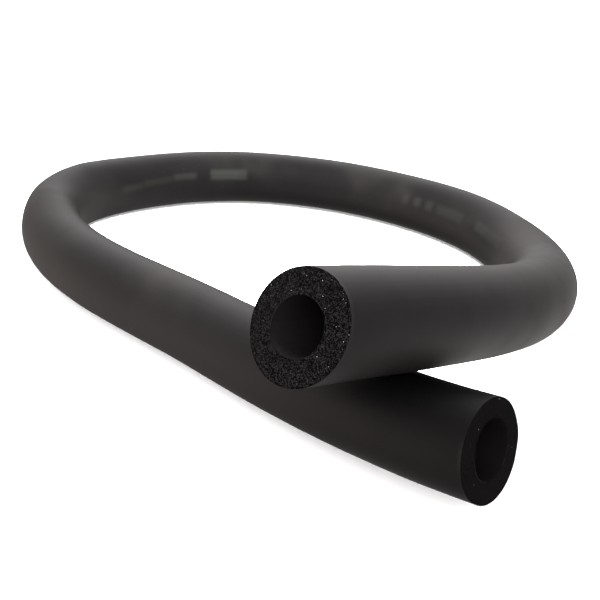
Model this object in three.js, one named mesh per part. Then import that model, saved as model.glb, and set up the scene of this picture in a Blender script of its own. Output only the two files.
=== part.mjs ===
// Pipe insulation lagging: one straight length of closed-cell rubber foam tube, laid in an open
// loop on a level floor. Its head end lies over its foot end, where the two tails cross.
// Millimetres, +Z up. The origin is on the floor, under the middle of the loop's outer box.

import * as THREE from "three";

// The tube as it is sold
const BORE_DIAMETER = 42;
const WALL = 19;

// The route it lies on, from the head end to the foot end: how long each stretch is, and how
// far it turns to the left, seen from above
const HEAD_TAIL = { length: 240, turnDegrees: 13 };
const RIGHT_EASE = { length: 200, turnDegrees: 35 };
const RIGHT_BEND = { length: 240, turnDegrees: 62 };
const FAR_SIDE = { length: 280, turnDegrees: 39 };
const FAR_LEFT = { length: 280, turnDegrees: 49 };
const LEFT_BEND = { length: 180, turnDegrees: 76 };
const LEFT_EASE = { length: 180, turnDegrees: 24.5 };
const NEAR_SIDE = { length: 180, turnDegrees: -7.5 };
const FOOT_TAIL = { length: 220, turnDegrees: 12.5 };
const STRETCHES = [
  HEAD_TAIL,
  RIGHT_EASE,
  RIGHT_BEND,
  FAR_SIDE,
  FAR_LEFT,
  LEFT_BEND,
  LEFT_EASE,
  NEAR_SIDE,
  FOOT_TAIL,
];
const BEND_BLEND = 160; // length over which one stretch's curvature fades into the next
const HEAD_HEADING_DEGREES = 30.4; // from +X, into the tube at its head end

// How the head tail climbs off the floor to lie over the foot tail
const CLIMB_LENGTH = 570; // from the head end to where the tube leaves the floor
const CLIMB_FULLNESS = 1.2; // 0 is a plain parabola, and more carries the climb nearer the end
const CONTACT_GAP = 0.4; // between the two tails where they meet

// The foot end keeps some of the curl it was packed with, and stands a little off the floor
const FOOT_LIFT = 16;
const FOOT_LIFT_LENGTH = 360; // from the foot end to where the tube leaves the floor

// How much of its half width the soft section loses at the reference bend, and gains in height
const BEND_SQUASH = 0.1;
const SQUASH_RADIUS = 200; // the reference bend's radius
const HEIGHT_GAIN_SHARE = 0.5;
const SHARPEST_SQUASH = 1.3; // times the reference bend's curvature, past which it squashes no more

// The cut ends are out of square, by degrees: how far a face runs ahead on its left and its top
const HEAD_CUT = { left: -14, top: 18 };
const FOOT_CUT = { left: 16, top: -14 };

// Fineness of the mesh
const SECTION_SIDES = 28;
const STATION_SPACING = 30;
const ROUTE_STEP = 4; // for measuring how close the tails come

const OUTER_RADIUS = BORE_DIAMETER / 2 + WALL;
const TUBE_LENGTH = STRETCHES.reduce((sum, stretch) => sum + stretch.length, 0);
const radians = THREE.MathUtils.degToRad;

// Goes smoothly from 0 to 1 as x goes from -0.5 to 0.5
function fade(x) {
  return THREE.MathUtils.smoothstep(x, -0.5, 0.5);
}

// The route's curvature in plan, in radians per millimetre, at a distance along the tube
function curvatureAt(along) {
  const bends = STRETCHES.map((stretch) => radians(stretch.turnDegrees) / stretch.length);
  let curvature = bends[0];
  let border = 0;
  for (let i = 1; i < bends.length; i++) {
    border += STRETCHES[i - 1].length;
    curvature += (bends[i] - bends[i - 1]) * fade((along - border) / BEND_BLEND);
  }
  return curvature;
}

// The share of the head's full rise that is left at a distance along the tube
function climbShare(along) {
  const u = Math.min(along / CLIMB_LENGTH, 1);
  return (1 - u) ** 2 * (1 + CLIMB_FULLNESS * u);
}

// The share of the foot end's lift that is reached at a distance along the tube
function footLiftShare(along) {
  return Math.max(0, 1 - (TUBE_LENGTH - along) / FOOT_LIFT_LENGTH) ** 2;
}

// The section's half width across the bend, and its half height
function sectionAt(along) {
  const sharpness = Math.min(Math.abs(curvatureAt(along)) * SQUASH_RADIUS, SHARPEST_SQUASH);
  const squash = BEND_SQUASH * sharpness ** 2;
  return {
    halfWidth: OUTER_RADIUS * (1 - squash),
    halfHeight: OUTER_RADIUS * (1 + HEIGHT_GAIN_SHARE * squash),
  };
}

// The axis's height over the floor at a distance along the tube, for one rise of the head end
function axisHeight(rise, along) {
  const climb = rise * climbShare(along) + FOOT_LIFT * footLiftShare(along);
  return sectionAt(along).halfHeight + climb;
}

// The centreline as evenly spaced stations, each with its place and its three directions
function layRoute(rise, count) {
  const step = TUBE_LENGTH / count;
  const heightAt = (along) => axisHeight(rise, along);
  const slopeAt = (along) => (heightAt(along + 1) - heightAt(along - 1)) / 2;
  const stations = [];
  const place = new THREE.Vector2(0, 0);
  let heading = radians(HEAD_HEADING_DEGREES);
  for (let i = 0; i <= count; i++) {
    const along = i * step;
    const slope = THREE.MathUtils.clamp(slopeAt(along), -0.9, 0.9);
    const level = Math.sqrt(1 - slope ** 2);
    const way = new THREE.Vector3(Math.cos(heading) * level, Math.sin(heading) * level, slope);
    const left = new THREE.Vector3(-way.y, way.x, 0).normalize();
    const top = way.clone().cross(left);
    const centre = new THREE.Vector3(place.x, place.y, heightAt(along));
    stations.push({ along, centre, way, left, top });
    const midHeading = heading + (curvatureAt(along + step / 4) * step) / 2;
    place.x += Math.cos(midHeading) * level * step;
    place.y += Math.sin(midHeading) * level * step;
    heading += curvatureAt(along + step / 2) * step;
  }
  return stations;
}

// How close the axes of the two tails come to each other
function tailDistance(rise) {
  const stations = layRoute(rise, Math.round(TUBE_LENGTH / ROUTE_STEP));
  const third = Math.floor(stations.length / 3);
  const head = stations.slice(0, third);
  const foot = stations.slice(-third);
  let nearest = Infinity;
  for (const a of head) {
    for (const b of foot) {
      nearest = Math.min(nearest, a.centre.distanceToSquared(b.centre));
    }
  }
  return Math.sqrt(nearest);
}

// The smallest rise of the head end that keeps the tails from running into each other
function restingRise() {
  const apart = 2 * OUTER_RADIUS + CONTACT_GAP;
  let low = 0;
  let high = 8 * OUTER_RADIUS;
  if (tailDistance(low) >= apart) {
    return low;
  }
  while (high - low > 0.05) {
    const middle = (low + high) / 2;
    if (tailDistance(middle) >= apart) {
      high = middle;
    } else {
      low = middle;
    }
  }
  return high;
}

// The tube as it comes out of the extruder: straight, along +Z, with square ends
function straightTube(stationCount) {
  const ring = new THREE.Shape().absarc(0, 0, OUTER_RADIUS, 0, 2 * Math.PI);
  ring.holes.push(new THREE.Path().absarc(0, 0, BORE_DIAMETER / 2, 0, 2 * Math.PI));
  return new THREE.ExtrudeGeometry(ring, {
    depth: TUBE_LENGTH,
    steps: stationCount,
    curveSegments: SECTION_SIDES / 2,
    bevelEnabled: false,
  });
}

// How far a cut end's face runs ahead of a square one, at a point of the section
function cutLead(cut, toLeft, toTop) {
  return toLeft * Math.tan(radians(cut.left)) + toTop * Math.tan(radians(cut.top));
}

// Bends the straight tube along the stations, with its section squashed where the route bends
function bendAlong(stations, geometry) {
  const position = geometry.getAttribute("position");
  const last = stations.length - 1;
  const point = new THREE.Vector3();
  for (let i = 0; i < position.count; i++) {
    point.fromBufferAttribute(position, i);
    const index = Math.round((point.z / TUBE_LENGTH) * last);
    const { along, centre, way, left, top } = stations[index];
    const { halfWidth, halfHeight } = sectionAt(along);
    const toLeft = (point.x * halfWidth) / OUTER_RADIUS;
    const toTop = (point.y * halfHeight) / OUTER_RADIUS;
    point.copy(centre).addScaledVector(left, toLeft).addScaledVector(top, toTop);
    if (index === 0) {
      point.addScaledVector(way, cutLead(HEAD_CUT, toLeft, toTop));
    }
    if (index === last) {
      point.addScaledVector(way, cutLead(FOOT_CUT, toLeft, toTop));
    }
    position.setXYZ(i, point.x, point.y, point.z);
  }
  geometry.computeVertexNormals();
}

const stationCount = Math.round(TUBE_LENGTH / STATION_SPACING);
const tubeGeometry = straightTube(stationCount);
bendAlong(layRoute(restingRise(), stationCount), tubeGeometry);

// Stand the tube on the floor, with the loop's outer box centred over the origin
tubeGeometry.computeBoundingBox();
const { min, max } = tubeGeometry.boundingBox;
tubeGeometry.translate(-(min.x + max.x) / 2, -(min.y + max.y) / 2, -min.z);

const blackFoam = new THREE.MeshStandardMaterial({
  name: "black_foam",
  color: 0x2b2a2b,
  roughness: 0.72,
  metalness: 0,
});

const tube = new THREE.Mesh(tubeGeometry, blackFoam);
tube.name = "lagging_tube";

const lagging = new THREE.Group();
lagging.add(tube);

export default lagging;
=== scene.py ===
"""Pipe insulation lagging: the finished look of one black foam tube that lies in an open loop.

The tube is one fine closed mesh on the solid's own route, with a moulded skin, two knife-cut ends
of open foam cells and a bore, each in a finish of its own. Metres, +Z up from the floor.
"""

import logging
import math
from dataclasses import dataclass
from enum import Enum, IntEnum

import bpy
import numpy as np
from mathutils import Matrix, Vector


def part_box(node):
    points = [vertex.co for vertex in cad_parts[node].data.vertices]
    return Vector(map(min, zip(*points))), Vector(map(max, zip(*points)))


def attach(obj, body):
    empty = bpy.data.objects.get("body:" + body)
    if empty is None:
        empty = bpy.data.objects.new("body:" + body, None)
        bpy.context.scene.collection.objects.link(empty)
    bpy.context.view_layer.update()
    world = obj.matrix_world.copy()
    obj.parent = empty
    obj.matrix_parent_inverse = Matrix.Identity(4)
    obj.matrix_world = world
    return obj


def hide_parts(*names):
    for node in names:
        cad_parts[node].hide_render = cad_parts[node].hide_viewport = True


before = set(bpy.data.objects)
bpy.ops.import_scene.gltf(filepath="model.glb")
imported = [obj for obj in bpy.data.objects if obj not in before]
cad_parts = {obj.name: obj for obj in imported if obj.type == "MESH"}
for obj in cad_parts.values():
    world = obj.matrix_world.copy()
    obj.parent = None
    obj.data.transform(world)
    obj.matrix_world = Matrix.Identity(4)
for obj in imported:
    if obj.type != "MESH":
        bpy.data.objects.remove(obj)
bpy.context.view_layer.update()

log = logging.getLogger("lagging")

Colour = tuple[float, float, float]
Socket = bpy.types.NodeSocket
Feed = Socket | float | Colour

MM = 0.001
TURN = 2 * math.pi


class Surface(IntEnum):
    """The tube's kinds of surface, in the order of its material slots."""

    SKIN = 0
    HEAD_CUT = 1
    FOOT_CUT = 2
    BORE = 3


class End(Enum):
    """The two cut ends, each with the way its face looks along the route."""

    HEAD = -1
    FOOT = 1


def put(data: bpy.types.ID) -> bpy.types.Object:
    """Puts a mesh, a light or a camera into the scene, as an object of the same name.

    Args:
        data: What the object holds.

    Returns:
        The object.
    """
    thing = bpy.data.objects.new(data.name, data)
    bpy.context.scene.collection.objects.link(thing)
    return thing


# Shapes from formulas


@dataclass(frozen=True)
class Lattice:
    """The random heights under a noise: how many there are each way, and their seed."""

    rows: int
    columns: int
    seed: int

    def of(self, end: End) -> "Lattice":
        """The same lattice with a seed of the end's own."""
        return Lattice(self.rows, self.columns, self.seed + end.value)


def fade(x: np.ndarray) -> np.ndarray:
    """Goes from 0 to 1 as x goes from -0.5 to 0.5, along the curve t * t * (3 - 2 * t)."""
    t = np.clip(x + 0.5, 0, 1)
    return t * t * (3 - 2 * t)


def away_from(middle: float, turn: np.ndarray) -> np.ndarray:
    """How far angles are from a middle, the short way and in shares of once round."""
    return np.abs((turn / TURN - middle + 0.5) % 1 - 0.5)


def value_noise(u: np.ndarray, v: np.ndarray, lattice: Lattice) -> np.ndarray:
    """Smooth noise: random heights on a lattice, faded from each lattice point to the next.

    Args:
        u: Place along the lattice's rows, where 1 is the whole length.
        v: Place around the lattice's columns, where 1 is once round, so that it joins up.
        lattice: Which random heights to use.

    Returns:
        Heights from -1 to 1, one for each u and v.
    """
    columns = lattice.columns
    heights = np.random.default_rng(lattice.seed).uniform(-1, 1, (lattice.rows + 2, columns))
    x = np.clip(u, 0, 1) * lattice.rows
    y = (v % 1) * columns
    i = np.floor(x).astype(int)
    j = np.floor(y).astype(int) % columns
    across = fade(x - np.floor(x) - 0.5)
    around = fade(y - np.floor(y) - 0.5)
    near = heights[i, j] * (1 - around) + heights[i, (j + 1) % columns] * around
    far = heights[i + 1, j] * (1 - around) + heights[i + 1, (j + 1) % columns] * around
    return near * (1 - across) + far * across


def cell_walls(x: np.ndarray, y: np.ndarray, size: float, seed: int) -> np.ndarray:
    """How near each point is to a wall between foam cells, where each cell grew from one seed.

    The seeds stand one in each square of a grid, moved about inside it at random. A point's value
    is its distance to the nearest seed over its distance to the second nearest.

    Args:
        x: Place across the face, in metres.
        y: Place up the face, in metres.
        size: The cells' mean size, in metres.
        seed: Which pattern of cells it is.

    Returns:
        0 in the middle of a cell, 1 on a wall.
    """
    side, least = 128, 1e-6
    moved = np.random.default_rng(seed).uniform(0, 1, (side, side, 2))
    i = np.floor(x / size).astype(int)
    j = np.floor(y / size).astype(int)
    distances = []
    for di in (-1, 0, 1):
        for dj in (-1, 0, 1):
            place = moved[(i + di) % side, (j + dj) % side]
            to_x = i + di + place[..., 0] - x / size
            to_y = j + dj + place[..., 1] - y / size
            distances.append(np.hypot(to_x, to_y))
    nearest = np.sort(np.stack(distances), axis=0)
    return nearest[0] / np.maximum(nearest[1], least)


# The route and the section


@dataclass(frozen=True)
class Stretch:
    """One stretch of the route: its length in metres, and how far it turns left in degrees."""

    length: float
    turn: float


@dataclass(frozen=True)
class Cut:
    """How far out of square an end is cut, in degrees ahead on its left side and its top."""

    left: float
    top: float

    def lead(self, to_left: np.ndarray, to_top: np.ndarray) -> np.ndarray:
        """How far the face runs ahead: each offset times the tangent of its angle, added up."""
        return to_left * math.tan(math.radians(self.left)) + to_top * math.tan(math.radians(self.top))


@dataclass
class Route:
    """The centreline: stretches that turn left, and a head tail that climbs over the foot tail.

    Curvature is constant in a stretch and fades into the next one. The heading is its running
    sum, and the place is the running sum of the heading's direction.
    """

    stretches: tuple[Stretch, ...] = (
        Stretch(0.240, 13),
        Stretch(0.200, 35),
        Stretch(0.240, 62),
        Stretch(0.280, 39),
        Stretch(0.280, 49),
        Stretch(0.180, 76),
        Stretch(0.180, 24.5),
        Stretch(0.180, -7.5),
        Stretch(0.220, 12.5),
    )
    blend: float = 0.160
    head_heading: float = 30.4
    climb_length: float = 0.570
    climb_fullness: float = 1.2
    foot_lift: float = 0.016
    foot_lift_length: float = 0.360
    contact_gap: float = 0.0004
    outer_radius: float = 0.040
    bend_squash: float = 0.1
    squash_radius: float = 0.200
    height_gain_share: float = 0.5
    sharpest_squash: float = 1.3
    steepest: float = 0.9
    highest_rise: float = 0.320
    finest_rise: float = 0.05 * MM
    test_every: int = 4
    step: float = 0.001
    spare: float = 0.020

    def __post_init__(self) -> None:
        """Lays the route out at its resting rise, and works out its left and its top."""
        self.length = sum(stretch.length for stretch in self.stretches)
        count = round((self.length + 2 * self.spare) / self.step)
        self.along = np.linspace(-self.spare, self.length + self.spare, count + 1)
        self.centre, self.way = self.lay(self.resting_rise())
        self.left = np.stack([-self.way[:, 1], self.way[:, 0], 0 * self.along], axis=1)
        self.left /= np.linalg.norm(self.left, axis=1, keepdims=True)
        self.top = np.cross(self.way, self.left)

    def curvature(self, along: np.ndarray) -> np.ndarray:
        """How sharply the route turns left: each stretch's own bend, faded into the next.

        Args:
            along: Distances along the route, in metres.

        Returns:
            Radians per metre, one for each distance.
        """
        bends = [math.radians(stretch.turn) / stretch.length for stretch in self.stretches]
        borders = np.cumsum([stretch.length for stretch in self.stretches])
        steps = [
            (after - before) * fade((along - border) / self.blend)
            for before, after, border in zip(bends, bends[1:], borders)
        ]
        return bends[0] + sum(steps)

    def section_scale(self, along: np.ndarray) -> tuple[np.ndarray, np.ndarray]:
        """How much narrower and taller the soft section is in a bend.

        The bend's sharpness is its curvature times the reference radius, up to a limit. The
        section gets narrower with its square, and taller by a share of that.

        Args:
            along: Distances along the route, in metres.

        Returns:
            The width's scale and the height's scale, one each for each distance.
        """
        sharpness = np.minimum(np.abs(self.curvature(along)) * self.squash_radius, self.sharpest_squash)
        squash = self.bend_squash * sharpness**2
        return 1 - squash, 1 + self.height_gain_share * squash

    def lay(self, rise: float) -> tuple[np.ndarray, np.ndarray]:
        """Lays the centreline for one rise of the head end.

        The height is half the section's, plus the rise times (1 - u) squared times (1 + fullness
        times u), where u goes from 0 at the head end to 1 where the tube touches down, plus the
        foot's lift times w squared, where w goes from 0 where the tube leaves the floor to 1 at
        the foot end.

        Args:
            rise: How far the head end is lifted, in metres.

        Returns:
            Places and directions along the route, one row for each step.
        """
        u = np.minimum(self.along / self.climb_length, 1)
        share = (1 - u) ** 2 * (1 + self.climb_fullness * u)
        w = np.maximum(0, 1 - (self.length - self.along) / self.foot_lift_length)
        half_section = self.outer_radius * self.section_scale(self.along)[1]
        height = half_section + rise * share + self.foot_lift * w**2
        slope = np.clip(np.gradient(height, self.along), -self.steepest, self.steepest)
        level = np.sqrt(1 - slope**2)
        bends = self.curvature(self.along[:-1] + self.step / 2) * self.step
        turned = np.concatenate([[0], np.cumsum(bends)])
        head = np.searchsorted(self.along, 0)
        heading = math.radians(self.head_heading) + turned - turned[head]
        way = np.stack([np.cos(heading) * level, np.sin(heading) * level, slope], axis=1)
        middle = (way[:-1, :2] + way[1:, :2]) / 2 * self.step
        plan = np.concatenate([np.zeros((1, 2)), np.cumsum(middle, axis=0)])
        return np.column_stack([plan - plan[head], height]), way

    def tail_distance(self, rise: float) -> float:
        """The shortest distance between the axes of the head third and the foot third.

        Args:
            rise: How far the head end is lifted, in metres.

        Returns:
            The distance in metres.
        """
        inside = (self.along >= 0) & (self.along <= self.length)
        centre = self.lay(rise)[0][inside][::self.test_every]
        third = len(centre) // 3
        apart = centre[:third, None, :] - centre[None, -third:, :]
        return float(np.sqrt((apart**2).sum(axis=2).min()))

    def resting_rise(self) -> float:
        """Finds the least rise that keeps the tails a diameter and the contact gap apart.

        Returns:
            The rise in metres, found by halving the range down to the finest rise.
        """
        wanted = 2 * self.outer_radius + self.contact_gap
        low, high = 0.0, self.highest_rise
        if self.tail_distance(low) >= wanted:
            return low
        while high - low > self.finest_rise:
            middle = (low + high) / 2
            if self.tail_distance(middle) >= wanted:
                high = middle
            else:
                low = middle
        return high

    def place(self, along: np.ndarray, to_left: np.ndarray, to_top: np.ndarray) -> np.ndarray:
        """Puts points beside the centreline.

        A point is the centre at its distance along, plus its offset to the left along the left
        direction there, plus its offset to the top along the top direction there.

        Args:
            along: Distances along the route, in metres.
            to_left: Offsets to the left, in metres.
            to_top: Offsets to the top, in metres.

        Returns:
            Places in metres, with a last axis of three.
        """

        def at(values: np.ndarray) -> np.ndarray:
            """Reads three columns at each distance, in a straight line between steps."""
            return np.stack([np.interp(along, self.along, values[:, k]) for k in range(3)], axis=-1)

        return at(self.centre) + at(self.left) * to_left[..., None] + at(self.top) * to_top[..., None]


# The mesh


class Shell:
    """A closed mesh put together from patches that share their edge rings."""

    def __init__(self) -> None:
        """Starts with nothing in it."""
        self.points: list[np.ndarray] = []
        self.pale: list[np.ndarray] = []
        self.faces: list[np.ndarray] = []
        self.slots: list[np.ndarray] = []
        self.uvs: list[np.ndarray] = []
        self.count = 0

    def ring(self, points: np.ndarray, pale: np.ndarray | float = 0.0) -> np.ndarray:
        """Adds rows of points.

        Args:
            points: Places, with a last axis of three.
            pale: How pale the surface is at each of them, from 0 to 1.

        Returns:
            The points' indices, in the same rows.
        """
        flat = points.reshape(-1, 3)
        index = np.arange(self.count, self.count + len(flat)).reshape(points.shape[:-1])
        self.points.append(flat)
        self.pale.append(np.broadcast_to(pale, index.shape).reshape(-1))
        self.count += len(flat)
        return index

    def face(self, corners: np.ndarray, uv: np.ndarray, surface: Surface, flip: bool) -> None:
        """Adds faces.

        Args:
            corners: The faces' point indices, one row for each face.
            uv: A UV place for each corner.
            surface: What the faces are.
            flip: Whether the faces look the other way.
        """
        if flip:
            corners, uv = corners[:, ::-1], uv[:, ::-1]
        self.faces.append(corners)
        self.uvs.append(uv)
        self.slots.append(np.full(len(corners), int(surface), dtype=np.int32))

    def join(self, index: np.ndarray, flat: np.ndarray, flat_next: np.ndarray, surface: Surface,
             flip: bool) -> None:
        """Joins rings that have the same number of points, by one four-sided face for each step.

        Args:
            index: Point indices, one row for each ring.
            flat: A UV place for each point.
            flat_next: A UV place for the point that follows each in its ring.
            surface: What the faces are.
            flip: Whether the faces look the other way.
        """
        following = np.roll(index, -1, axis=1)
        corners = np.stack([index[:-1], following[:-1], following[1:], index[1:]], axis=-1)
        uv = np.stack([flat[:-1], flat_next[:-1], flat_next[1:], flat[1:]], axis=2)
        self.face(corners.reshape(-1, 4), uv.reshape(-1, 4, 2), surface, flip)

    def tube(self, index: np.ndarray, u: np.ndarray, around: float, surface: Surface,
             flip: bool = False) -> None:
        """Joins rings into a skin, with its UV map rolled out flat.

        Args:
            index: Point indices, one row for each ring.
            u: Each ring's place along.
            around: The UV length of once round.
            surface: What the faces are.
            flip: Whether the faces look the other way.
        """
        sides = index.shape[1]
        us, vs = np.meshgrid(u, np.arange(sides) / sides * around, indexing="ij")
        vs_next = vs + around / sides
        self.join(index, np.stack([us, vs], axis=-1), np.stack([us, vs_next], axis=-1), surface, flip)

    def fan(self, coarse: np.ndarray, fine: np.ndarray, flat_coarse: np.ndarray, flat_fine: np.ndarray,
            surface: Surface, flip: bool = False) -> None:
        """Joins a ring to one with twice its points, by three triangles for each coarse step.

        Args:
            coarse: The ring's point indices.
            fine: The point indices of the ring with twice as many.
            flat_coarse: A UV place for each point of the coarse ring.
            flat_fine: A UV place for each point of the fine ring.
            surface: What the faces are.
            flip: Whether the faces look the other way.
        """

        def triangles(a: np.ndarray, b: np.ndarray) -> np.ndarray:
            """Sets the corners of the triangles between the rings.

            Args:
                a: A value for each point of the coarse ring.
                b: A value for each point of the fine ring.

            Returns:
                One row of three values for each triangle.
            """
            a_next, b_mid, b_next = np.roll(a, -1, axis=0), b[1::2], np.roll(b[0::2], -1, axis=0)
            rows = ((a, b_mid, b[0::2]), (a, a_next, b_mid), (a_next, b_next, b_mid))
            return np.concatenate([np.stack(row, axis=1) for row in rows])

        self.face(triangles(coarse, fine), triangles(flat_coarse, flat_fine), surface, flip)

    def mesh(self, name: str) -> bpy.types.Mesh:
        """Writes everything into one smooth Blender mesh, with its UV map, slots and paleness.

        Args:
            name: The mesh's name.

        Returns:
            The mesh.
        """
        mesh = bpy.data.meshes.new(name)
        points = np.concatenate(self.points)
        sizes = np.concatenate([np.full(len(f), f.shape[1], dtype=np.int32) for f in self.faces])
        starts = np.concatenate([[0], np.cumsum(sizes)[:-1]]).astype(np.int32)
        corners = np.concatenate([f.reshape(-1) for f in self.faces]).astype(np.int32)
        uvs = np.concatenate([uv.reshape(-1, 2) for uv in self.uvs]).astype(np.float32)
        mesh.vertices.add(len(points))
        mesh.vertices.foreach_set("co", points.astype(np.float32).ravel())
        mesh.loops.add(len(corners))
        mesh.loops.foreach_set("vertex_index", corners)
        mesh.polygons.add(len(sizes))
        mesh.polygons.foreach_set("loop_start", starts)
        mesh.polygons.foreach_set("material_index", np.concatenate(self.slots))
        mesh.polygons.foreach_set("use_smooth", np.ones(len(sizes), dtype=bool))
        mesh.uv_layers.new(name="UVMap").data.foreach_set("uv", uvs.ravel())
        pale = np.concatenate(self.pale).astype(np.float32)
        mesh.attributes.new("pale", "FLOAT", "POINT").data.foreach_set("value", pale)
        mesh.update(calc_edges=True)
        mesh.validate()
        return mesh


# Finishes


class Bench:
    """A node tree, with short calls for the nodes that the finishes and the room share."""

    MIX_SHARE, MIX_FIRST, MIX_SECOND, MIX_RESULT = 0, 6, 7, 2

    def __init__(self, tree: bpy.types.NodeTree) -> None:
        """Takes the tree and adds its coordinates."""
        self.tree = tree
        self.coordinates = tree.nodes.new("ShaderNodeTexCoord")

    def feed(self, value: Feed, target: Socket) -> None:
        """Gives an input a value.

        Args:
            value: An output to link, or a number, a colour or a vector to set.
            target: The input.
        """
        if isinstance(value, Socket):
            self.tree.links.new(value, target)
        else:
            target.default_value = (*value, 1.0) if target.type == "RGBA" else value

    def node(self, kind: str, inputs: dict[str | int, Feed], **settings: str) -> bpy.types.Node:
        """Adds a node.

        Args:
            kind: The node's type.
            inputs: What its inputs are given, by name or by number.
            settings: Its properties, by name.

        Returns:
            The node.
        """
        made = self.tree.nodes.new(kind)
        for name, value in settings.items():
            setattr(made, name, value)
        for name, value in inputs.items():
            self.feed(value, made.inputs[name])
        return made

    def noise(self, space: str, scale: tuple[float, float, float], detail: float) -> Socket:
        """Noise on Object or UV places.

        Args:
            space: "Object" or "UV".
            scale: Bumps a metre along X, Y and Z, or along and around the tube.
            detail: How many finer layers are added.

        Returns:
            The noise, from 0 to 1.
        """
        places = {"Scale": scale, "Vector": self.coordinates.outputs[space]}
        scaled = self.node("ShaderNodeMapping", places).outputs["Vector"]
        inputs = {"Scale": 1.0, "Detail": detail, "Vector": scaled}
        return self.node("ShaderNodeTexNoise", inputs).outputs["Fac"]

    def cells(self, size: float) -> tuple[Socket, Socket]:
        """Foam cells on Object places.

        Args:
            size: The cells' size in metres.

        Returns:
            The distance to the nearest cell's middle, and that cell's own random number.
        """
        inputs = {"Scale": 1 / size, "Vector": self.coordinates.outputs["Object"]}
        texture = self.node("ShaderNodeTexVoronoi", inputs)
        own = self.node("ShaderNodeSeparateColor", {0: texture.outputs["Color"]})
        return texture.outputs["Distance"], own.outputs[0]

    def attribute(self, name: str) -> Socket:
        """Reads one of the piece's own number attributes."""
        return self.node("ShaderNodeAttribute", {}, attribute_name=name).outputs["Fac"]

    def along(self) -> Socket:
        """Reads how far along the tube a place is, in metres: the UV map's first number."""
        return self.node("ShaderNodeSeparateXYZ", {0: self.coordinates.outputs["UV"]}).outputs[0]

    def remap(self, source: Socket, low: float, high: float, to_low: float = 0.0,
              to_high: float = 1.0) -> Socket:
        """Takes a value smoothly from one range to another, and stops at the second one's ends."""
        inputs = {"From Min": low, "From Max": high, "To Min": to_low, "To Max": to_high, "Value": source}
        return self.node("ShaderNodeMapRange", inputs, interpolation_type="SMOOTHSTEP").outputs["Result"]

    def mix(self, share: Socket, first: Socket | Colour, second: Socket | Colour) -> Socket:
        """Mixes two colours, with from 0 to 1 of the second in the first."""
        inputs = {self.MIX_SHARE: share, self.MIX_FIRST: first, self.MIX_SECOND: second}
        return self.node("ShaderNodeMix", inputs, data_type="RGBA").outputs[self.MIX_RESULT]

    def times(self, first: Socket, second: Socket | float) -> Socket:
        """Multiplies a value by another one."""
        return self.node("ShaderNodeMath", {0: first, 1: second}, operation="MULTIPLY").outputs[0]

    def background(self, colour: Colour, strength: Socket | float) -> Socket:
        """Adds light of one colour from afar."""
        return self.node("ShaderNodeBackground", {"Color": colour, "Strength": strength}).outputs[0]

    def bump(self, height: Socket, distance: float, below: Socket | None = None) -> Socket:
        """Adds relief so many metres high, on other relief below it if there is any."""
        under = {} if below is None else {"Normal": below}
        return self.node("ShaderNodeBump", {"Distance": distance, "Height": height, **under}).outputs[0]


class Coat(Bench):
    """A new material on its own bench."""

    def __init__(self, name: str) -> None:
        """Makes the material and finds its shader.

        Args:
            name: The material's name.
        """
        self.material = bpy.data.materials.new(name)
        self.material.use_nodes = True
        super().__init__(self.material.node_tree)
        self.shader = self.tree.nodes["Principled BSDF"]

    def wear(self, inputs: dict[str, Feed]) -> bpy.types.Material:
        """Puts the finish on the shader.

        Args:
            inputs: What the shader's inputs are given, by name.

        Returns:
            The material.
        """
        for name, value in inputs.items():
            self.feed(value, self.shader.inputs[name])
        return self.material


@dataclass(frozen=True)
class WornBar:
    """A pale bar that has nearly come off the skin: where it starts and ends, and how pale it is.

    Distances are along the tube and around it, in metres, and paleness is from 0 to 1. The drift
    is how much further round the tube the bar's far end lies.
    """

    starts: float
    ends: float
    middle: float
    width: float
    paleness: float
    drift: float = 0.0
    blur: float = 0.007

    def shade(self, along: np.ndarray, around: np.ndarray) -> np.ndarray:
        """How pale the bar makes each point: one fade along it times one fade across it.

        Args:
            along: The points' distances along the tube.
            around: Their distances around it.

        Returns:
            Their paleness.
        """
        half = (self.ends - self.starts) / 2
        lengthwise = fade((half - np.abs(along - self.starts - half)) / self.blur)
        middle = self.middle + self.drift * (along - self.starts) / (2 * half)
        across = fade((self.width / 2 - np.abs(around - middle)) / self.blur)
        return self.paleness * lengthwise * across


WORN_BARS = (
    WornBar(1.010, 1.074, 0.0150, 0.015, 0.27),
    WornBar(1.100, 1.140, 0.0145, 0.009, 0.18),
    WornBar(1.143, 1.195, 0.0125, 0.009, 0.10, drift=-0.003),
    WornBar(1.197, 1.235, 0.0080, 0.009, 0.11, drift=-0.003),
    WornBar(0.720, 0.729, 0.0165, 0.014, 0.14),
    WornBar(0.697, 0.709, 0.0165, 0.014, 0.14),
    WornBar(0.674, 0.687, 0.0160, 0.014, 0.14),
    WornBar(0.610, 0.665, 0.0150, 0.014, 0.10),
    WornBar(0.500, 0.580, 0.0155, 0.014, 0.12, drift=0.002),
)


@dataclass(frozen=True)
class PaintedHighlightArc:
    """A stretch of a bore's edge painted paler, as a painted highlight, in shares of once round.

    The way round goes from the left over the top and the right.
    """

    end: End
    middle: float
    length: float
    paleness: float
    blur: float = 0.08

    def shade(self, turn: np.ndarray) -> np.ndarray:
        """How pale the arc makes each angle: its paleness, faded away past both its ends."""
        return self.paleness * fade((self.length / 2 - away_from(self.middle, turn)) / self.blur)


# Painted highlights: paler arcs along the bores' edges on the cut faces.
PAINTED_HIGHLIGHT_ARCS = (
    PaintedHighlightArc(End.FOOT, 0.57, 0.18, 0.9),
    PaintedHighlightArc(End.FOOT, 0.88, 0.10, 0.8),
    PaintedHighlightArc(End.HEAD, 0.62, 0.12, 0.4),
    PaintedHighlightArc(End.HEAD, 0.90, 0.26, 0.6),
)


@dataclass(frozen=True)
class PulledEdge:
    """A stretch of a bore's edge that is pulled wider, placed as a painted highlight arc is."""

    end: End
    middle: float
    fades_over: float
    width: float

    def pull(self, turn: np.ndarray) -> np.ndarray:
        """How far each angle is pulled out: the width in the middle, faded away on both sides."""
        return self.width * fade(0.5 - away_from(self.middle, turn) / self.fades_over)


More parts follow.
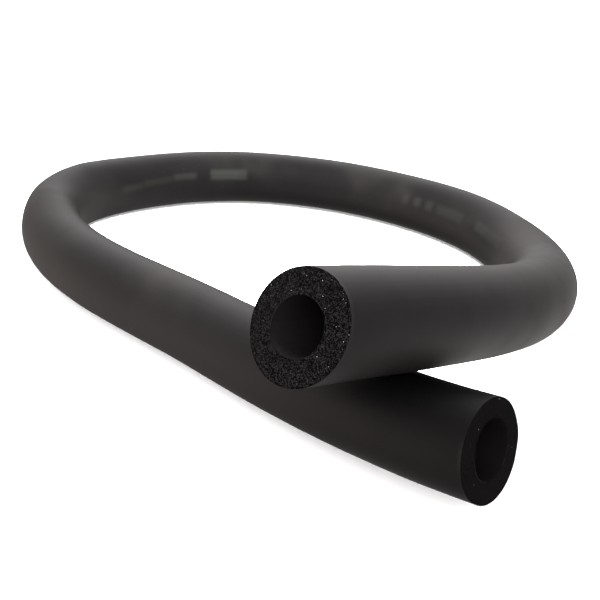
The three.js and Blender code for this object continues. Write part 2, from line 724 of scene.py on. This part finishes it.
PULLED_EDGES = (
    PulledEdge(End.FOOT, 0.20, 0.45, 0.0034),
    PulledEdge(End.FOOT, 0.68, 0.30, 0.0014),
)


@dataclass(frozen=True)
class MouldedSkin:
    """The smooth outer skin: black rubber with a faint bloom, and painted shade that makes it darker
    towards the foot end.
    """

    rubber: Colour = (0.0034, 0.0029, 0.0031)
    bloom: Colour = (0.0100, 0.0086, 0.0084)
    bloom_share: float = 0.75
    patch_scale: tuple[float, float, float] = (7, 7, 7)
    patch_band: tuple[float, float] = (0.42, 0.72)
    ink: Colour = (0.034, 0.034, 0.031)
    ink_band: tuple[float, float] = (0.2, 0.7)
    thinnest_ink: float = 0.85
    # Painted shade: the darker colour that the skin turns towards the foot end, between the two distances
    # below.
    painted_shade: Colour = (0.0010, 0.0008, 0.0009)
    painted_shade_from: float = 1.74
    painted_shade_to: float = 1.94
    smoothest: float = 0.46
    dullest: float = 0.56
    specular: float = 0.30
    grain: float = 0.03 * MM
    grain_scale: tuple[float, float, float] = (2600, 2600, 2600)
    draw_lines: float = 0.10 * MM
    line_scale: tuple[float, float, float] = (2.5, 260, 1)

    def material(self) -> bpy.types.Material:
        """Builds the finish: bloom in soft patches, painted shade towards the foot end, draw lines along
        the tube, and a fine grain.

        Returns:
            The material.
        """
        bench = Coat("moulded_skin")
        patches = bench.remap(bench.noise("Object", self.patch_scale, 3), *self.patch_band)
        lines = bench.noise("UV", self.line_scale, 2)
        grain = bench.noise("Object", self.grain_scale, 1)
        ink = bench.remap(lines, *self.ink_band, self.thinnest_ink, 1.0)
        rubber = bench.mix(bench.times(patches, self.bloom_share), self.rubber, self.bloom)
        # Painted shade: the rubber turns darker along the tube towards the foot end.
        rubber = bench.mix(bench.remap(bench.along(), self.painted_shade_from, self.painted_shade_to), rubber, self.painted_shade)
        return bench.wear({
            "Base Color": bench.mix(bench.times(bench.attribute("pale"), ink), rubber, self.ink),
            "Roughness": bench.remap(patches, 0, 1, self.smoothest, self.dullest),
            "Specular IOR Level": self.specular,
            "Normal": bench.bump(grain, self.grain, bench.bump(lines, self.draw_lines)),
        })


@dataclass(frozen=True)
class CutFoam:
    """The open cells of a knife-cut end: near-black pits of painted shade, grey walls, a few painted
    glints, and painted highlights along the bore's edge.

    A band is the two values between which a pattern goes from none to all.
    """

    name: str
    # Painted shade: the near-black that each cell's hollow middle takes.
    pit: Colour = (0.0008, 0.0007, 0.0007)
    wall: Colour = (0.027, 0.025, 0.025)
    # Painted highlight: the paler tone that the cut face takes along the bore's edge.
    paler_tone: Colour = (0.022, 0.020, 0.020)
    cell: float = 0.72 * MM
    relief: float = 0.35 * MM
    wall_band: tuple[float, float] = (0.10, 0.60)
    lowest_wall: float = 0.35
    lit_band: tuple[float, float] = (0.40, 0.95)
    dullest_wall: float = 0.04
    grain_scale: tuple[float, float, float] = (1800, 1800, 1800)
    grain_band: tuple[float, float] = (0.3, 0.7)
    dimmest_grain: float = 0.4
    # Painted glints: the pale grey that a few cells take in their middle, for light caught on cell walls.
    painted_glint: Colour = (0.55, 0.55, 0.55)
    painted_glint_cell: float = 1.3
    painted_glint_band: tuple[float, float] = (0.32, 0.22)
    painted_glint_share: float = 0.016
    roughness: float = 0.85
    specular: float = 0.035

    def material(self) -> bpy.types.Material:
        """Builds the finish: cells with painted shade in their middles and walls that differ in
        brightness, fine noise, lone painted glints, and painted highlights by the bore.

        Returns:
            The material.
        """
        bench = Coat(self.name)
        distance, own = bench.cells(self.cell)
        glint_distance, glint_own = bench.cells(self.painted_glint_cell * self.cell)
        grain = bench.noise("Object", self.grain_scale, 1)
        # Painted shade: each cell's middle takes the near-black pit colour and its wall darkens towards
        # it, as shade in the cell hollows.
        edges = bench.remap(distance, *self.wall_band)
        lit = bench.remap(own, *self.lit_band, self.dullest_wall, 1.0)
        walls = bench.times(bench.times(bench.remap(edges, 0, 1, self.lowest_wall, 1.0), lit),
                            bench.remap(grain, *self.grain_band, self.dimmest_grain, 1.0))
        # Painted glints: a few cells get a pale grey dot in their middle, for light caught on cell walls.
        lone = bench.remap(glint_own, 1 - self.painted_glint_share, 1.0)
        painted_glints = bench.times(lone, bench.remap(glint_distance, *self.painted_glint_band))
        # Painted highlight: where the pale attribute is set by the bore's edge, the foam takes the paler
        # tone.
        foam = bench.mix(bench.attribute("pale"), bench.mix(walls, self.pit, self.wall), self.paler_tone)
        return bench.wear({
            "Base Color": bench.mix(painted_glints, foam, self.painted_glint),
            "Roughness": self.roughness,
            "Specular IOR Level": self.specular,
            "Normal": bench.bump(edges, self.relief),
        })


@dataclass(frozen=True)
class BoreSkin:
    """The bore's closed inner skin: near black, smooth, with lines from the mandrel."""

    rubber: Colour = (0.0054, 0.0045, 0.0048)
    paler_tone: Colour = (0.0076, 0.0064, 0.0069)
    # Painted shade: the darker colour that the bore turns towards the foot end.
    painted_shade: Colour = (0.0024, 0.0019, 0.0021)
    painted_shade_from: float = 0.5
    painted_shade_to: float = 1.8
    painted_shade_most: float = 0.9
    roughness: float = 0.65
    specular: float = 0.03
    lines: float = 0.04 * MM
    line_scale: tuple[float, float, float] = (4, 400, 1)

    def material(self) -> bpy.types.Material:
        """Builds the finish: two close darks with fine lines along the bore, and painted shade that makes
        it darker at the foot.

        Returns:
            The material.
        """
        bench = Coat("bore_skin")
        lines = bench.noise("UV", self.line_scale, 2)
        # Painted shade: the bore turns darker along the tube towards the foot end.
        foot = bench.remap(bench.along(), self.painted_shade_from, self.painted_shade_to, 0.0, self.painted_shade_most)
        return bench.wear({
            "Base Color": bench.mix(foot, bench.mix(lines, self.rubber, self.paler_tone), self.painted_shade),
            "Roughness": self.roughness,
            "Specular IOR Level": self.specular,
            "Normal": bench.bump(lines, self.lines),
        })


FINISHES = {
    Surface.SKIN: MouldedSkin(),
    Surface.HEAD_CUT: CutFoam("head_cut"),
    # The foot cut is the same foam as the head cut: its darker pits and walls are painted shade, and its
    # paler tone by the bore is a painted highlight.
    Surface.FOOT_CUT: CutFoam(
        "foot_cut",
        pit=(0.0030, 0.0026, 0.0028),
        wall=(0.0058, 0.0051, 0.0053),
        paler_tone=(0.018, 0.016, 0.016),
        dullest_wall=0.4,
        painted_glint_share=0.005,
        specular=0.02,
    ),
    Surface.BORE: BoreSkin(),
}


# The tube


@dataclass(frozen=True)
class FaceRing:
    """One ring of a cut face near its rim or its bore.

    It has so many times the rim's or the bore's points, lies so many edge widths in from there,
    and has pits of a share of the full depth.
    """

    times: int
    inset: float
    pits: float


@dataclass
class LaggingTube:
    """The foam tube: its outer skin, its bore and the two cut faces that join them."""

    route: Route
    bore_radius: float = 0.021
    edge: float = 0.0006
    skin_steps: int = 500
    skin_sides: int = 96
    bore_steps: int = 100
    bore_sides: int = 96
    face_rings: int = 36
    rim_rings: tuple[FaceRing, ...] = (FaceRing(1, 0.35, 0), FaceRing(1, 1.0, 0))
    finer_rings: tuple[FaceRing, ...] = (FaceRing(2, 1.5, 0.3), FaceRing(4, 2.2, 0.3))
    coarser_rings: tuple[FaceRing, ...] = (FaceRing(2, 1.4, 0.2), FaceRing(1, 0.5, 0.2))
    skew_reach: float = 0.070
    cuts: tuple[tuple[End, Cut], ...] = ((End.HEAD, Cut(-14, 18)), (End.FOOT, Cut(16, -14)))
    skin_sunk: float = 0.28 * MM
    skin_swing: float = 0.20 * MM
    fine_swing: float = 0.08 * MM
    slow_skin: Lattice = Lattice(40, 5, 11)
    fine_skin: Lattice = Lattice(160, 12, 12)
    ink_loss: float = 0.15
    rubbed_ink: Lattice = Lattice(130, 12, 40)
    cell_depth: float = 0.30 * MM
    cell_size: float = 1.2 * MM
    cell_seed: int = 20
    knife_wave: float = 0.40 * MM
    knife: Lattice = Lattice(7, 7, 30)
    face_span: float = 0.1
    raggedness: float = 0.60 * MM
    fine_raggedness: float = 0.36 * MM
    coarse_edge: Lattice = Lattice(1, 7, 50)
    fine_edge: Lattice = Lattice(1, 19, 60)
    ragged_reach: float = 15 * MM
    highlight_edge: float = 1.6 * MM

    def section(self, along: np.ndarray, radius: np.ndarray, turn: np.ndarray
                ) -> tuple[np.ndarray, np.ndarray]:
        """Offsets of a point of the squashed section: radius times cosine and sine, each scaled."""
        narrower, taller = self.route.section_scale(along)
        return radius * narrower * np.cos(turn), radius * taller * np.sin(turn)

    def skewed(self, along: np.ndarray, to_left: np.ndarray, to_top: np.ndarray) -> np.ndarray:
        """Moves rings near an end towards its cut plane, by the cut's lead, less with distance.

        Args:
            along: The points' distances along the route.
            to_left: Their offsets to the left.
            to_top: Their offsets to the top.

        Returns:
            Their new distances along the route.
        """
        moved = along.copy()
        for end, cut in self.cuts:
            distance = along if end is End.HEAD else self.route.length - along
            share = np.clip(1 - distance / self.skew_reach, 0, 1)
            moved += share * cut.lead(to_left, to_top)
        return moved

    def rings(self, along: np.ndarray, radius: np.ndarray, sides: int) -> np.ndarray:
        """Rings of points around the route, each turned onto the cut planes near the ends.

        Args:
            along: Each ring's distance along the tube.
            radius: A radius for each point, by ring and by point.
            sides: How many points a ring has.

        Returns:
            Places, by ring and by point.
        """
        turn = np.arange(sides) / sides * TURN
        s, t = np.meshgrid(along, turn, indexing="ij")
        to_left, to_top = self.section(s, radius, t)
        return self.route.place(self.skewed(s, to_left, to_top), to_left, to_top)

    def stand_over(self, low: Vector, high: Vector) -> None:
        """Moves the route in plan, so that the plain tube's box has the same middle as a solid's.

        Args:
            low: The low corner of the solid's box.
            high: Its high corner.
        """
        along = np.linspace(0, self.route.length, self.skin_steps + 1)
        radius = np.full((len(along), self.skin_sides), self.route.outer_radius)
        skin = self.rings(along, radius, self.skin_sides)[..., :2]
        middle = (skin.min(axis=(0, 1)) + skin.max(axis=(0, 1))) / 2
        self.route.centre[:, :2] += (np.array(low[:2]) + np.array(high[:2])) / 2 - middle

    def build(self) -> bpy.types.Object:
        """Builds the closed tube and dresses it.

        Returns:
            The finished piece.
        """
        shell = Shell()
        skin = self.lay_skin(shell)
        bore = self.lay_bore(shell)
        for end, _ in self.cuts:
            last = 0 if end is End.HEAD else -1
            self.cut_face(shell, end, skin[last], bore[last])
        piece = put(shell.mesh("foam_lagging_tube"))
        for surface in Surface:
            piece.data.materials.append(FINISHES[surface].material())
        return piece

    def worn_bars(self, along: np.ndarray, around: np.ndarray) -> np.ndarray:
        """How pale the ink bars make the skin: all bars added, and thinned unevenly by noise.

        Args:
            along: The points' distances along the tube.
            around: Their distances around it.

        Returns:
            Their paleness.
        """
        once_round = TURN * self.route.outer_radius
        noise = value_noise(along / self.route.length, around / once_round, self.rubbed_ink)
        left = 1 - self.ink_loss + self.ink_loss * noise
        return sum(bar.shade(along, around) for bar in WORN_BARS) * left

    def ragged(self, end: End, turn: np.ndarray) -> np.ndarray:
        """How far a bore's edge is out of round: where it is pulled, and coarse and fine noise.

        Args:
            end: Which end it is.
            turn: Angles around the bore.

        Returns:
            How far out the edge lies at each angle, in metres.
        """
        coarse = value_noise(0 * turn, turn / TURN, self.coarse_edge.of(end))
        fine = value_noise(0 * turn, turn / TURN, self.fine_edge.of(end))
        pulled = sum(edge.pull(turn) for edge in PULLED_EDGES if edge.end is end)
        return pulled + self.raggedness * coarse + self.fine_raggedness * fine

    def lay_skin(self, shell: Shell) -> np.ndarray:
        """Lays the outer skin, sunk a little and uneven by coarse and fine noise.

        Args:
            shell: The mesh to add to.

        Returns:
            Its point indices by ring.
        """
        along = np.linspace(self.edge, self.route.length - self.edge, self.skin_steps + 1)
        turn = np.arange(self.skin_sides) / self.skin_sides
        s, t = np.meshgrid(along / self.route.length, turn, indexing="ij")
        uneven = (self.skin_swing * value_noise(s, t, self.slow_skin)
                  + self.fine_swing * value_noise(s, t, self.fine_skin))
        radius = self.route.outer_radius - self.skin_sunk - uneven
        once_round = TURN * self.route.outer_radius
        pale = self.worn_bars(s * self.route.length, t * once_round)
        index = shell.ring(self.rings(along, radius, self.skin_sides), pale)
        shell.tube(index, along, once_round, Surface.SKIN, flip=True)
        return index

    def lay_bore(self, shell: Shell) -> np.ndarray:
        """Lays the bore's skin, out of round at its ends.

        Args:
            shell: The mesh to add to.

        Returns:
            Its point indices by ring.
        """
        along = np.linspace(self.edge, self.route.length - self.edge, self.bore_steps + 1)
        turn = np.arange(self.bore_sides) / self.bore_sides * TURN
        s, t = np.meshgrid(along, turn, indexing="ij")
        radius = np.full_like(s, self.bore_radius)
        for end, _ in self.cuts:
            distance = s if end is End.HEAD else self.route.length - s
            radius += self.ragged(end, t) * fade(0.5 - distance / self.ragged_reach)
        index = shell.ring(self.rings(along, radius, self.bore_sides))
        shell.tube(index, along, TURN * self.bore_radius, Surface.BORE)
        return index

    def face_points(self, end: End, radius: np.ndarray, sides: int, depth: float
                    ) -> tuple[np.ndarray, np.ndarray, np.ndarray]:
        """Rings of points on a cut face, with its cell pits and the knife's slow wave.

        A point lies on the cut plane, pushed into the foam by the pits' depth where it is in a
        cell's middle, and by a slow wave of noise. Near the bore it follows the ragged edge, and
        is paler in parts of the way round, as a painted highlight.

        Args:
            end: Which end it is.
            radius: Each ring's radius.
            sides: How many points a ring has.
            depth: How deep the pits are there.

        Returns:
            Places by ring and by point, the same points' flat places for the UV map, and how
            pale they are.
        """
        turn = np.arange(sides) / sides * TURN
        r, t = np.meshgrid(radius, turn, indexing="ij")
        base = np.full_like(r, 0.0 if end is End.HEAD else self.route.length)
        from_bore = r - self.bore_radius
        r = r + self.ragged(end, t) * fade(0.5 - from_bore / self.ragged_reach)
        # Painted highlight: the arcs make the face paler along the bore's edge.
        painted_highlight = sum(arc.shade(t) for arc in PAINTED_HIGHLIGHT_ARCS if arc.end is end)
        pale = painted_highlight * fade(0.5 - from_bore / self.highlight_edge)
        to_left, to_top = self.section(base, r, t)
        x, y = to_left + self.face_span / 2, to_top + self.face_span / 2
        walls = cell_walls(x, y, self.cell_size, self.cell_seed + end.value)
        slow = value_noise(x / self.face_span, y / self.face_span, self.knife.of(end))
        sunk = depth * (1 - walls) + self.knife_wave * (0.5 + 0.5 * slow)
        along = self.skewed(base, to_left, to_top) - end.value * sunk
        return self.route.place(along, to_left, to_top), np.stack([to_left, to_top], axis=-1), pale

    def face_ring(self, shell: Shell, end: End, radius: float, sides: int, pits: float
                  ) -> tuple[np.ndarray, np.ndarray]:
        """Lays one ring of a cut face.

        Args:
            shell: The mesh to add to.
            end: Which end it is.
            radius: The ring's radius.
            sides: How many points it has.
            pits: How deep its pits are, as a share of the full depth.

        Returns:
            The ring's point indices, and their flat places.
        """
        points, flat, pale = self.face_points(end, np.array([radius]), sides, pits * self.cell_depth)
        return shell.ring(points, pale)[0], flat[0]

    def cut_face(self, shell: Shell, end: End, skin: np.ndarray, bore: np.ndarray) -> None:
        """Lays one cut face between the skin's last ring and the bore's last ring.

        Args:
            shell: The mesh to add to.
            end: Which end it is.
            skin: The skin ring's point indices.
            bore: The bore ring's point indices.
        """
        outer, inner = self.route.outer_radius, self.bore_radius
        flip = end is End.FOOT
        cut = Surface.FOOT_CUT if flip else Surface.HEAD_CUT
        rim = [self.face_ring(shell, end, outer - row.inset * self.edge, self.skin_sides, row.pits)
               for row in self.rim_rings]
        rows = np.stack([skin, *(index for index, _ in rim)])
        shell.tube(rows, np.zeros(len(rows)), 0.0, cut, flip=flip)
        ring, flat = rim[-1]
        for row in self.finer_rings:
            sides = row.times * self.skin_sides
            finer = self.face_ring(shell, end, outer - row.inset * self.edge, sides, row.pits)
            shell.fan(ring, finer[0], flat, finer[1], cut, flip=not flip)
            ring, flat = finer
        inset = self.finer_rings[-1].inset * self.edge
        radius = np.linspace(outer - inset, inner + inset, self.face_rings)[1:]
        points, spread, pale = self.face_points(end, radius, len(ring), self.cell_depth)
        index = np.concatenate([ring[None], shell.ring(points, pale)])
        spread = np.concatenate([flat[None], spread])
        shell.join(index, spread, np.roll(spread, -1, axis=1), cut, flip)
        ring, flat = index[-1], spread[-1]
        for row in self.coarser_rings:
            sides = row.times * self.bore_sides
            coarser = self.face_ring(shell, end, inner + row.inset * self.edge, sides, row.pits)
            shell.fan(coarser[0], ring, coarser[1], flat, cut, flip=flip)
            ring, flat = coarser
        shell.tube(np.stack([ring, bore]), np.zeros(2), 0.0, Surface.BORE, flip=flip)


# The studio


@dataclass(frozen=True)
class Glow:
    """A soft patch of light in the room: where it comes from, how bright it is and how wide.

    In a direction whose cosine with the glow's own is c, it adds its brightness times e to the
    power of (c - 1) over its width squared.
    """

    comes_from: tuple[float, float, float]
    brightness: float
    colour: Colour
    width: float = 0.5

    def on(self, bench: Bench) -> Socket:
        """Builds the formula.

        Args:
            bench: The world's bench.

        Returns:
            The glow's light.
        """
        sharpness = self.width**-2
        ways = {0: bench.coordinates.outputs["Generated"], 1: tuple(Vector(self.comes_from).normalized())}
        cosine = bench.node("ShaderNodeVectorMath", ways, operation="DOT_PRODUCT").outputs["Value"]
        scaled = {0: cosine, 1: sharpness, 2: -sharpness}
        power = bench.node("ShaderNodeMath", scaled, operation="MULTIPLY_ADD").outputs[0]
        spread = bench.node("ShaderNodeMath", {0: power}, operation="EXPONENT").outputs[0]
        return bench.background(self.colour, bench.times(spread, self.brightness))


@dataclass(frozen=True)
class SoftSun:
    """A wide soft light: the direction that it comes from, its strength and its width in degrees."""

    name: str
    comes_from: tuple[float, float, float]
    strength: float
    width: float

    def shine(self) -> None:
        """Adds the light, which leaves no shine of its own on the tube."""
        data = bpy.data.lights.new(self.name, "SUN")
        data.energy = self.strength
        data.angle = math.radians(self.width)
        turn = Vector(self.comes_from).to_track_quat("Z", "Y")
        sun = put(data)
        sun.matrix_world = Matrix.Translation(Vector(self.comes_from)) @ turn.to_matrix().to_4x4()
        sun.visible_glossy = False


@dataclass
class Studio:
    """A pale floor, soft light all round, and the camera where the photograph was taken."""

    camera_place: tuple[float, float, float] = (0.0250, -0.6310, 0.3502)
    pitch: float = 29.85
    roll: float = 4.44
    lens: float = 34.85
    sensor_width: float = 36.0
    floor_half: float = 30.0
    floor_colour: Colour = (0.92, 0.92, 0.92)
    floor_glow: float = 0.25
    floor_roughness: float = 0.9
    white: Colour = (1.0, 1.0, 1.0)
    backdrop: float = 1.0
    all_round: float = 0.10
    tint: Colour = (1.0, 0.93, 0.95)
    glows: tuple[Glow, ...] = (
        Glow((-0.04, 0.84, 0.54), 1.95, (1.0, 0.97, 0.97)),
        Glow((-0.95, -0.20, -0.10), 1.35, (1.0, 0.88, 0.81)),
        Glow((0.76, 0.18, -0.61), 1.15, (1.0, 0.95, 0.93)),
        Glow((-0.23, -0.79, 0.56), 0.12, (1.0, 0.93, 0.95)),
        Glow((0.0, -0.93, -0.35), 0.24, (1.0, 0.93, 0.96)),
    )
    suns: tuple[SoftSun, ...] = (
        SoftSun("sun_above", (0.0, 0.0, 1.0), 2.4, 110),
        SoftSun("sun_front_left", (-0.7, -1.0, 0.8), 2.1, 90),
        SoftSun("sun_front_right", (0.7, -1.0, 0.8), 3.2, 90),
    )
    lamp_height: float = 0.45
    lamp_width: float = 0.30
    lamp_power: float = 20.0
    lamp_colour: Colour = (0.92, 1.0, 0.95)

    def build(self) -> None:
        """Sets the floor, the light and the camera."""
        self.lay_floor()
        self.light_room()
        for sun in self.suns:
            sun.shine()
        self.hang_lamp()
        self.stand_camera()
        bpy.context.scene.view_settings.view_transform = "Standard"

    def lay_floor(self) -> None:
        """Lays one flat square of floor, with a faint glow that softens the shadow on it."""
        half = self.floor_half
        corners = [(-half, -half, 0), (half, -half, 0), (half, half, 0), (-half, half, 0)]
        mesh = bpy.data.meshes.new("floor")
        mesh.from_pydata(corners, [], [(0, 1, 2, 3)])
        mesh.materials.append(Coat("floor").wear({
            "Base Color": self.floor_colour,
            "Roughness": self.floor_roughness,
            "Emission Color": self.white,
            "Emission Strength": self.floor_glow,
        }))
        floor = put(mesh)
        floor.visible_glossy = False
        floor.visible_diffuse = False
        floor.visible_shadow = False

    def light_room(self) -> None:
        """Lights the room evenly, with the glows added; the camera itself sees a plain backdrop."""
        world = bpy.data.worlds.new("room")
        world.use_nodes = True
        bpy.context.scene.world = world
        bench = Bench(world.node_tree)
        light = bench.background(self.tint, self.all_round)
        for glow in self.glows:
            light = bench.node("ShaderNodeAddShader", {0: light, 1: glow.on(bench)}).outputs[0]
        camera_ray = bench.node("ShaderNodeLightPath", {}).outputs["Is Camera Ray"]
        plain = bench.background(self.white, self.backdrop)
        either = bench.node("ShaderNodeMixShader", {0: camera_ray, 1: light, 2: plain})
        bench.feed(either.outputs[0], bench.tree.nodes["World Output"].inputs["Surface"])

    def hang_lamp(self) -> None:
        """Hangs a square lamp over the loop's middle, for the sides that look inwards."""
        data = bpy.data.lights.new("lamp_over_the_loop", "AREA")
        data.size = self.lamp_width
        data.energy = self.lamp_power
        data.color = self.lamp_colour
        lamp = put(data)
        lamp.location = (0, 0, self.lamp_height)
        lamp.visible_glossy = False
        lamp.visible_camera = False

    def stand_camera(self) -> None:
        """Points the camera along +Y, tipped down by the pitch and turned about its view by the roll."""
        pitch, roll = math.radians(self.pitch), math.radians(self.roll)
        ahead = Vector((0, math.cos(pitch), -math.sin(pitch)))
        level_up = Vector((0, math.sin(pitch), math.cos(pitch)))
        level_right = Vector((1, 0, 0))
        right = level_right * math.cos(roll) + level_up * math.sin(roll)
        up = level_up * math.cos(roll) - level_right * math.sin(roll)
        turned = Matrix((right, up, -ahead)).transposed().to_4x4()
        data = bpy.data.cameras.new("camera")
        data.lens = self.lens
        data.sensor_width = self.sensor_width
        camera = put(data)
        camera.matrix_world = Matrix.Translation(self.camera_place) @ turned
        bpy.context.scene.camera = camera


def main() -> None:
    """Builds the studio and the tube."""
    logging.basicConfig(level=logging.INFO, format="%(name)s: %(message)s")
    Studio().build()
    tube = LaggingTube(Route())
    tube.stand_over(*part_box("lagging_tube"))
    piece = tube.build()
    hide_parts("lagging_tube")
    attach(piece, "root")
    log.info("%s: %d faces", piece.name, len(piece.data.polygons))


if __name__ == "__main__":
    main()
